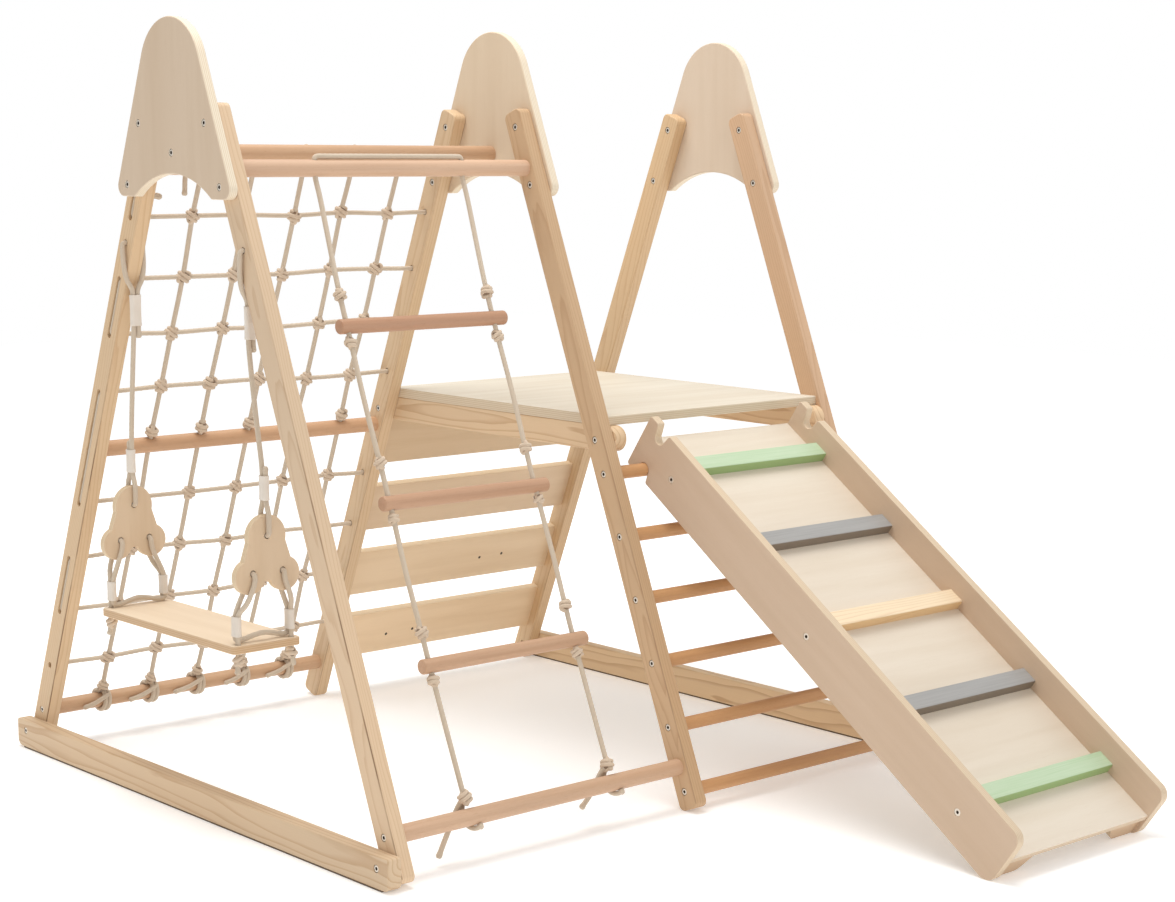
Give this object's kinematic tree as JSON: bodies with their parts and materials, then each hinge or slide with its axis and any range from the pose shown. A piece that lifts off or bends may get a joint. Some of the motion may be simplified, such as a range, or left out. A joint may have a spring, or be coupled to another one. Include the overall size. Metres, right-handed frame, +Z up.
{
  "type": "toddler climbing frame with slide ramp",
  "caption": "Indoor wooden climbing frame for small children: A-frames, rope net, rope ladder, hanging swing, deck and a hook-on ramp with foot bars",
  "frame": {"origin": "Middle of the underside of the left foot rail, on the floor", "axes": "+X along the row of A-frames from left to right, -Y is the front with the ladder and ramp, +Z up"},
  "size_m": [1.365, 1.8699, 1.3976],
  "materials": {
    "pine": "planed pine with a clear matt finish",
    "plywood": "sanded pale plywood with a clear matt finish",
    "beech": "smooth pinkish turned hardwood",
    "rope": "off-white smooth braided cotton rope",
    "sleeve": "off-white shrunk sleeve",
    "bolt": "plated socket-head screws",
    "pad": "thin dark anti-slip strip",
    "green_bar": "pale green painted wood",
    "grey_bar": "mid grey painted wood"
  },
  "bodies": {
    "root": {"back_slat_1": "plywood", "back_slat_2": "plywood", "back_slat_3": "plywood", "back_slat_4": "plywood", "back_top_dowel": "beech", "bottom_ladder_dowel": "beech", "bottom_net_dowel": "beech", "deck_board": "plywood", "foot_pads": "pad", "frame_bolts": "bolt", "front_rung_1": "beech", "front_rung_2": "beech", "front_rung_3": "beech", "front_rung_4": "beech", "front_rung_5": "beech", "front_rung_6": "beech", "front_top_dowel": "beech", "ladder_knots": "rope", "ladder_rope": "rope", "ladder_rung_1": "beech", "ladder_rung_2": "beech", "ladder_rung_3": "beech", "left_back_leg": "pine", "left_deck_beam": "pine", "left_foot_rail": "pine", "left_front_leg": "pine", "left_peak_plate": "plywood", "middle_back_leg": "pine", "middle_front_leg": "pine", "middle_net_dowel": "beech", "middle_peak_plate": "plywood", "net_cross_rope": "rope", "net_knots": "rope", "net_vertical_ropes": "rope", "ridge_dowel": "beech", "right_back_leg": "pine", "right_deck_beam": "pine", "right_foot_rail": "pine", "right_front_leg": "pine", "right_peak_plate": "plywood", "slat_pins": "beech", "swing_hanger_loops": "rope"},
    "swing": {"swing_upper_ropes": "rope", "swing_upper_sleeves": "sleeve"},
    "swing_seat": {"swing_front_side_plate": "plywood", "swing_back_side_plate": "plywood", "swing_seat_ropes": "rope", "swing_seat_sleeves": "sleeve", "swing_seat": "plywood", "swing_knots": "rope"},
    "ramp": {"ramp_left_panel": "plywood", "ramp_right_panel": "plywood", "ramp_board": "plywood", "ramp_foot_rail": "plywood", "ramp_bolts": "bolt", "ramp_bar_1": "green_bar", "ramp_bar_2": "grey_bar", "ramp_bar_3": "pine", "ramp_bar_4": "grey_bar", "ramp_bar_5": "green_bar"}
  },
  "joints": [
    {"name": "swing_upper_hinge", "type": "hinge", "parent": "root", "child": "swing", "pos_m": [0.028, 0, 0.925], "axis": [0, 1, 0], "range_deg": [-25, 25]},
    {"name": "swing_lower_hinge", "type": "hinge", "parent": "swing", "child": "swing_seat", "pos_m": [0.028, 0, 0.53], "axis": [0, 1, 0], "range_deg": [-20, 20]},
    {"name": "ramp_hook_hinge", "type": "hinge", "parent": "root", "child": "ramp", "pos_m": [0.985, -0.35892, 0.591], "axis": [-1, 0, 0], "range_deg": [0, 20]}
  ]
}
